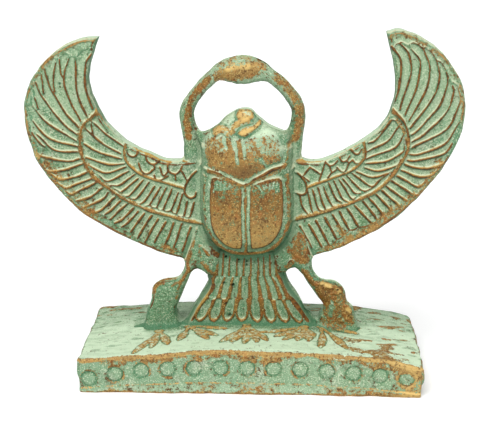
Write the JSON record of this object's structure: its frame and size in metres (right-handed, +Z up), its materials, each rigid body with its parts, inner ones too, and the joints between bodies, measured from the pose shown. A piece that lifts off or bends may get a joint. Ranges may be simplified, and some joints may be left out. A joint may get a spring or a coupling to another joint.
{
  "type": "winged scarab statue",
  "caption": "Table statue of a winged scarab beetle with raised curved wings, a loop over its head and a fanned tail, cast in one with an arched plinth.",
  "frame": {"origin": "on the floor, under the middle of the wing span and of the plinth's depth", "axes": "+X to the right across the wings, -Y out of the carved front, +Z up"},
  "size_m": [0.2056, 0.0686, 0.1634],
  "materials": {
    "winged_scarab_statue": "cast stone or resin with a pale verdigris wash, rubbed back to a copper-bronze brown on the raised carving; dull, slightly waxy"
  },
  "bodies": {
    "root": {"winged_scarab_statue": "winged_scarab_statue"}
  },
  "joints": []
}
